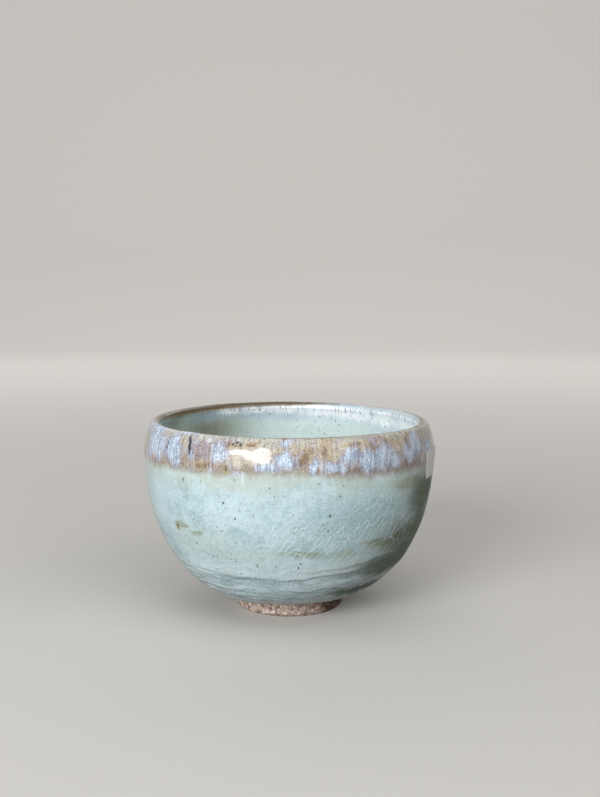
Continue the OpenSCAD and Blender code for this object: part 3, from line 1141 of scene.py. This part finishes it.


# %% [markdown]
# ## Specks and spots
# Grains of iron in the clay melt into dark specks. Dots on a flat map would all be round and whole.
# Cells in space are better: only where a cell's centre lies near the face does a speck show, so
# their sizes differ as on the real bowl. The largest spots are listed, each with its
# direction, drop and half sizes.

# %% Place the largest marks
SPECK = palette("speck", dark="#434643", pale="#7f8a84", halo="#a79a68", purple="#3d3952", rust="#8a6043")
SPOTS = [
    (-138.7, 37.8, 0.8, 1.0), (-129.4, 66.8, 1.1, 0.6), (-131.5, 18.6, 0.45, 1.5), (-71.9, 22.6, 0.5, 0.7),
    (-75.3, 29.9, 0.7, 0.8), (-110.1, 31.2, 0.5, 0.8), (-129.5, 43.7, 0.45, 0.7), (-89.7, 58.5, 0.6, 0.6),
    (-103.3, 50.9, 0.35, 1.4), (-110.7, 3.8, 0.8, 0.9), (-109.2, 3.2, 1.2, 0.6), (-107.8, 4, 0.8, 1.0),
    (-112.8, 12.6, 0.5, 1.7), (-150.7, 15.6, 0.35, 2.2), (-57.8, 56.7, 0.6, 0.5), (-77.8, 33.3, 0.4, 0.6),
    (-75.7, 35.8, 0.45, 0.7), (-138, 65.1, 1.0, 0.45), (-140.5, 54.6, 0.45, 0.8), (-86.4, 51.3, 0.4, 1.3),
    (-85.5, 49.5, 0.7, 0.5), (-95.5, 50.6, 0.45, 0.45),
    (40, 25, 0.8, 0.9), (112, 33, 0.7, 1.0), (160, 20, 0.5, 1.5), (5, 52, 0.8, 0.8),
]
RUST_SPOTS = [
    (-91.9, 1.4, 1.8, 0.8), (-42, 1.8, 1.2, 0.7), (-104, 4.2, 2.6, 0.6), (-109.4, 4.4, 1.2, 0.8),
    (96, 2, 1.4, 0.8),
]
HALOS = [(-138.7, 38.4, 2, 2.4), (-112.8, 13.4, 1.4, 2.4), (112, 33, 1.6, 2)]
STREAKS = [
    (-129, 5.4, 1.0, 3.4), (-128.4, 7.6, 0.7, 2.6), (-129.6, 3.2, 0.9, 1.6), (-141, 6.4, 0.55, 3),
    (60, 6, 0.7, 2.2), (148, 7, 0.6, 2),
]
# pale runs of the glaze; the first, a pale drip under the window's highlight, is partly a painted reflection
PALE_RUNS_AND_REFLECTION = [
    (-106.5, 16, 0.9, 4), (-120.5, 3, 2.2, 1.4), (-79, 11.5, 1.0, 3.4), (-54, 8.5, 0.5, 3),
    (-48.5, 10, 0.45, 3), (-42.5, 9, 0.45, 3), (-37, 7, 0.5, 3.4), (-32, 6, 0.6, 4),
    (-29.5, 10, 0.4, 2.6), (-24, 13, 0.7, 3), (70, 14, 0.8, 3.6),
]


def marks(place, spots, core):
    """1 in the middle of each mark, falling to 0 at its half sizes."""
    found = None
    for direction, drop, half_w, half_h in spots:
        turn = math.radians(direction)
        centre = (-UNROLLED_R * math.cos(turn), -UNROLLED_R * math.sin(turn), -drop)
        off = place.moved(centre).scaled(1 / half_w, 1 / half_w, 1 / half_h)
        mark = off.length().rise(1, core)
        found = mark if found is None else found.larger(mark)
    return found


placed_marks = [SPOTS, RUST_SPOTS, HALOS, STREAKS, PALE_RUNS_AND_REFLECTION]
print("marks placed by hand:", sum(len(places) for places in placed_marks))

# %% Scatter the specks
SOFT_EDGE = 0.02
# size of the cells and largest radius of each kind of speck
FRECKLE = (1.2, 0.3)
IRON_GRAIN = (1.8, 0.45)
DRAWN_GRAIN = (3.2, 0.36)
IRON_SPOT = (8, 0.7)


def specks(at, size, radius):
    """Strong in the middle of scattered specks of up to this radius, each of its own strength."""
    chance = at.cells(size, output="Color").part(0)
    reach = chance * radius
    return (at.cells(size) * size / (reach + SOFT_EDGE)).rise(1, 0.5) * (chance * 0.7 + 0.3)


def specked(colour, at, place):
    """The colour with its specks and marks, and how dark they are."""
    jitter = at.cloud(0.6, 2, 0.5, "Color").moved((-0.5, -0.5, -0.5))
    ragged = place.moved(jitter.scaled(0.9))
    rough = at.moved(jitter.scaled(0.5))
    busy = at.cloud(11, 2, 0.5)
    within = place.part(2).rise(0, -3)
    freckles = specks(rough, *FRECKLE)
    grains = specks(rough, *IRON_GRAIN) * (busy + within * 0.2).rise(0.34, 0.56) * 0.85
    drawn = specks(ragged.scaled(1, 1, 0.3), *DRAWN_GRAIN) * busy.rise(0.6, 0.42) * 0.6
    large = specks(rough, *IRON_SPOT) * 0.9
    colour = freckles.blend(colour, SPECK.pale, 0.4)
    colour = marks(ragged, HALOS, 0.3).blend(colour, SPECK.halo, 0.8)
    # pale runs, the one under the window's highlight partly a painted reflection
    colour = marks(ragged, PALE_RUNS_AND_REFLECTION, 0.2).blend(colour, RIM.white, 0.6)
    colour = marks(ragged, RUST_SPOTS, 0.3).blend(colour, SPECK.rust, 0.8)
    colour = marks(ragged, STREAKS, 0.4).blend(colour, SPECK.purple, 0.95)
    dark = grains.larger(drawn).larger(large).larger(marks(ragged, SPOTS, 0.4) * 0.9)
    return dark.blend(colour, SPECK.dark), dark


print("scattered specks up to", IRON_SPOT[1], "mm in radius")

# %% [markdown]
# ## Craze lines
# Glaze that shrinks more than its clay cracks into a net of fine lines. Here they lean, as they
# followed the twist of throwing, so the cells are cut from a sheet that was turned and pulled
# long. They show white in broad patches of the wall and hardly at all elsewhere. The distance to a
# cell's edge would make lines of uneven width after the pull, so it is measured across each line.

# %% Draw the craze lines
CRAZE_WHITE = tint("#e2f3f8")
# size of a net's cells, half the width of its lines, and their strength
CRAZE_NETS = [(3.2, 0.2, 1.0), (1.9, 0.13, 0.6)]
CRAZE_CORE = 0.25


def craze_net(sheet, cell, half_w):
    """1 in the middle of each line between two cells of a leaning net, and 0 off the lines."""
    near = sheet.cells(cell, "F1", "Position", "2D")
    next_near = sheet.cells(cell, "F2", "Position", "2D")
    across = sheet.vector("NORMALIZE", sheet.vector("SUBTRACT", next_near, near))
    middle = near.moved(next_near).scaled(0.5, 0.5, 0)
    off = sheet.vector("DOT_PRODUCT", sheet.vector("SUBTRACT", middle, sheet), across, output="Value")
    steepness = across.scaled(1 / CRAZE_STRETCH, 1, 0).length()
    return (off / steepness).rise(half_w, half_w * CRAZE_CORE)


def craze_lines(start, at, wall):
    """Both nets of lines, broken here and there, in the patches where the glaze crazed."""
    sheet = fact(start, "craze_place").moved(at.cloud(9, 2, 0.5, "Color").scaled(3, 3, 0))
    broken = at.cloud(5, 2, 0.5).rise(0.28, 0.5)
    lines = sum(craze_net(sheet, cell, half_w) * share for cell, half_w, share in CRAZE_NETS)
    return lines * broken * (wall.part(1) * 0.95 + 0.03)


print("craze cells", [cell for cell, _, _ in CRAZE_NETS], "mm wide and", CRAZE_STRETCH, "times as long")

# %% [markdown]
# ## The fired glaze
# The two glazes could be two formulas, but then their streaks would stop at the seam of two coats,
# so both are one. The gloss is that of glass, a little duller over iron and dull on the mossy side,
# whose green is partly painted shade, with a faint orange peel in the normal.

# %% Fire the glaze
def fired_glaze(name):
    material, shader, start = new_finish(name)
    at = millimetres(start)
    place = fact(start, "glaze_place")
    rim = fact(start, "rim_melt")
    wall = fact(start, "wall_melt")
    lines = fact(start, "wall_marks")
    below = fact(start, "craze_place").part(2)
    drop = place.part(2)
    hair = white_hairs(place)
    colour, moss = celadon_colour(at, place, wall, lines, rim, hair)
    craze = craze_lines(start, at, wall)
    colour = craze.blend(colour, CRAZE_WHITE)
    colour = inside_colour(colour, at, place, rim, lines.part(2), hair)
    dipped = rim_band(at, hair, below) * drop.rise(-1.5, 0.5)
    colour = dipped.blend(colour, rim_colour(at, rim, lines.part(2), hair, drop, below))
    broken = rim.part(2) + hair.swing(0.2)
    colour = broken.rise(0.15, 0.9).blend(colour, RIM.brown)
    colour = broken.rise(0.75, 1.25).blend(colour, RIM.lip)
    colour, dark = specked(colour, at, place)
    peel = at.cloud(1.3, 2, 0.5) * 0.3 + at.cloud(0.35, 2, 0.5) * 0.12 - craze * 0.8 - dark * 0.3
    roughness = 0.08 + at.cloud(6, 3, 0.6) * 0.08 + rim.part(1) * 0.06 + moss * 0.7
    feed(shader, base_color=colour, roughness=roughness, normal=bumped(start, peel, 0.4, 0.05))
    return material


celadon_finish = fired_glaze("celadon_glaze")
rim_finish = fired_glaze("rim_glaze")
print("glaze nodes:", len(celadon_finish.node_tree.nodes))

# %% [markdown]
# ## Bare clay
# The foot is stoneware with sand in it: a pinkish brown ground, rusty in patches and darkest on
# the front right, where the rust is partly painted shade, with dark pits and pale grains of grog.
# A film of glaze ran down over the foot in two places. A plain noise has no grains, so the specks
# of the glaze are used again, paler and closer.

# %% Mix the clay
CLAY = palette("clay", ground="#c0a89c", pit="#513e34", grog="#fbf0e3", rust="#5f432f", smear="#8a948a")
# size of the cells and largest radius of the pale grains
SAND = (0.8, 0.62)
GROG = (2.0, 1.0)


def bare_clay(name):
    material, shader, start = new_finish(name)
    at = millimetres(start)
    coarse = at.cloud(2.4, 5, 0.75)
    melt = fact(start, "foot_melt")
    # rust, and on the front right a darker brown that is painted shade
    rust = (melt.part(1) + at.cloud(6, 3, 0.6).swing(1.2)).rise(0.1, 0.7)
    colour = rust.blend(CLAY.ground, CLAY.rust)
    colour = coarse.rise(0.51, 0.37).blend(colour, CLAY.pit, 0.85)
    loose = at.moved(at.cloud(0.5, 2, 0.5, "Color").scaled(0.6))
    grains = specks(loose, *SAND).larger(specks(loose, *GROG))
    pale = grains * coarse.rise(0.38, 0.52) * (1 - rust * 0.65)
    colour = pale.blend(colour, CLAY.grog)
    smear = (melt.part(0) + coarse.swing(0.8)).rise(0.3, 0.7)
    colour = smear.blend(colour, CLAY.smear, 0.85)
    normal = bumped(start, coarse + pale * 0.5, 0.6, 0.2)
    feed(shader, base_color=colour, normal=normal, roughness=0.9 - smear * 0.6)
    return material


clay_finish = bare_clay("stoneware")
foot_finish = bare_clay("foot_clay")
print("clay nodes:", len(clay_finish.node_tree.nodes))

# %% [markdown]
# ## Paper
# The label is cheap white paper, matt and faintly fibrous. One flat white would look like plastic,
# so a fine noise gives the fibres both in the colour and in the normal.

# %% Make the paper
PAPER = palette("paper", shade="#f0efed", light="#f8f8f7")


def paper(name):
    material, shader, start = new_finish(name, roughness=0.8)
    fibres = millimetres(start).cloud(0.6, 3, 0.6)
    colour = fibres.blend(PAPER.shade, PAPER.light)
    feed(shader, base_color=colour, normal=bumped(start, fibres, 0.3, 0.03))
    return material


paper_finish = paper("label_paper")
print("paper nodes:", len(paper_finish.node_tree.nodes))

# %% [markdown]
# ## Which piece stands for which solid
# Every piece rides on the bowl, stands for the solid of its name and takes its finish. A table
# shows that at a glance.

# %% Dress the part
dressing = [
    (bowl_body, "bowl_body", "stoneware", clay_finish),
    (foot_ring, "foot_ring", "foot_clay", foot_finish),
    (outside_glaze, "outside_glaze", "celadon_glaze", celadon_finish),
    (inside_glaze, "inside_glaze", "celadon_glaze", celadon_finish),
    (rim_glaze, "rim_glaze", "rim_glaze", rim_finish),
    (price_label, "price_label", "label_paper", paper_finish),
]
for piece, node, slot, finish in dressing:
    piece.data.materials.append(finish)
    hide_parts(node)
    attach(piece, "root")
    print(node, "takes", slot)

# %% [markdown]
# ## The floor
# The bowl stands on a plain pale sweep, a floor that curves up into a wall, so no line crosses the
# picture. A floor as pale as it looks would throw much light up at the bowl. So it is pale only for
# the rays of the camera and of reflections, and dimmer for the light that it bounces, and it still
# shows the bowl's shadow.

# %% Lay the floor
SWEEP_FRONT, SWEEP_BACK = -2.5, 1.6
SWEEP_BEND = 0.8
SWEEP_TOP = 3.0
SWEEP_SIDE = 4.0
SWEEP_STEPS = 24


def sweep():
    bend = np.linspace(0, math.pi / 2, SWEEP_STEPS)
    depth = [SWEEP_FRONT, *(SWEEP_BACK + SWEEP_BEND * np.sin(bend)), SWEEP_BACK + SWEEP_BEND]
    height = [0.0, *(SWEEP_BEND * (1 - np.cos(bend))), SWEEP_TOP]
    count = len(depth)
    points = [(x, y, z) for x in (-SWEEP_SIDE, SWEEP_SIDE) for y, z in zip(depth, height)]
    faces = [(i, i + 1, i + 1 + count, i + count) for i in range(count - 1)]
    mesh = bpy.data.meshes.new("floor")
    mesh.from_pydata(points, [], faces)
    mesh.shade_smooth()
    return add_object("floor", mesh)


floor = sweep()
print("floor", 2 * SWEEP_SIDE, "m wide")

# %% Paint the floor
FLOOR = palette("floor", pale="#c9c6c1", dim="#544d47")
BLACK = (0, 0, 0, 1)
FLOOR_GLOW, WALL_GLOW, WALL_AWAY = 0.08, 0.66, 1.4


def seen(start):
    """1 for rays of the camera and of reflections, 0 for the light that the floor bounces."""
    kinds = ("Is Camera Ray", "Is Glossy Ray", "Is Transmission Ray")
    camera_ray, glossy_ray, through_ray = [start.node("ShaderNodeLightPath", output=kind) for kind in kinds]
    return camera_ray.larger(glossy_ray).larger(through_ray)


def painted_floor():
    material, shader, start = new_finish("floor", roughness=0.9, emission_strength=1.0)
    shown = seen(start)
    far = start.node("ShaderNodeTexCoord", output="Object").length().rise(0, WALL_AWAY)
    glow = (far * (WALL_GLOW - FLOOR_GLOW) + FLOOR_GLOW).blend(BLACK, FLOOR.pale)
    colour = shown.blend(FLOOR.dim, FLOOR.pale)
    feed(shader, base_color=colour, emission_color=shown.blend(BLACK, glow))
    return material


floor.data.materials.append(painted_floor())
print("floor glow", FLOOR_GLOW, "near the bowl and", WALL_GLOW, "on the wall")

# %% [markdown]
# ## Light
# Five large soft lamps stand for a room by day. The window, to the left behind the camera, makes
# the one clear highlight. The others fill: the room from the right, the sky from above, a low glow
# from the left, and one from behind, so that the back looks as good. A picture of a room could
# light the bowl instead, but it would be a file to load. The world is pale where it is seen and
# dim as a light.

# %% Hang the lights
LIGHT_AIM = Vector((0, 0, 0.05))
COOL, DAY, NEUTRAL, WARM = (0.97, 0.99, 1.0), (0.98, 0.99, 1.0), (0.99, 0.99, 1.0), (1.0, 0.99, 0.98)
# name, azimuth and elevation in degrees, distance, width and height in metres, watts and colour
LAMPS = [
    ("window", -120.5, 20.5, 1.2, 0.56, 0.37, 10.0, COOL),
    ("room", -50, 38, 1.6, 1.4, 1.2, 8.9, WARM),
    ("sky", -110, 76, 1.6, 1.2, 1.2, 5.0, DAY),
    ("low glow", -126, 5, 1.8, 1.8, 0.6, 10.9, WARM),
    ("back", 95, 42, 1.7, 1.8, 1.1, 6.0, NEUTRAL),
]


def soft_lamp(name, azimuth, elevation, distance, width, height, power, colour):
    data = bpy.data.lights.new(name, "AREA")
    data.shape = "RECTANGLE"
    data.size = width
    data.size_y = height
    data.energy = power
    data.color = colour
    turn = math.radians(azimuth)
    climb = math.radians(elevation)
    out = math.cos(climb)
    away_from = Vector((math.cos(turn) * out, math.sin(turn) * out, math.sin(climb)))
    lamp = add_object(name, data)
    lamp.location = LIGHT_AIM + distance * away_from
    lamp.rotation_euler = away_from.to_track_quat("Z", "Y").to_euler()
    print(name, power, "W")


for lamp_sizes in LAMPS:
    soft_lamp(*lamp_sizes)

# %% Light the room
ROOM_LIGHT, ROOM_SHOWN = 0.11, 0.5
ROOM_COLOUR = (1.0, 0.985, 0.965, 1.0)

world = bpy.data.worlds.new("room")
world.use_nodes = True
background = world.node_tree.nodes["Background"]
background.inputs["Color"].default_value = ROOM_COLOUR
feed(background, strength=seen(Wire(world.node_tree)) * (ROOM_SHOWN - ROOM_LIGHT) + ROOM_LIGHT)
scene.world = world
print("world", ROOM_LIGHT, "as a light and", ROOM_SHOWN, "where it is seen")

# %% [markdown]
# ## The relief of the glaze
# The relief of the glaze stands a little proud of the solids.
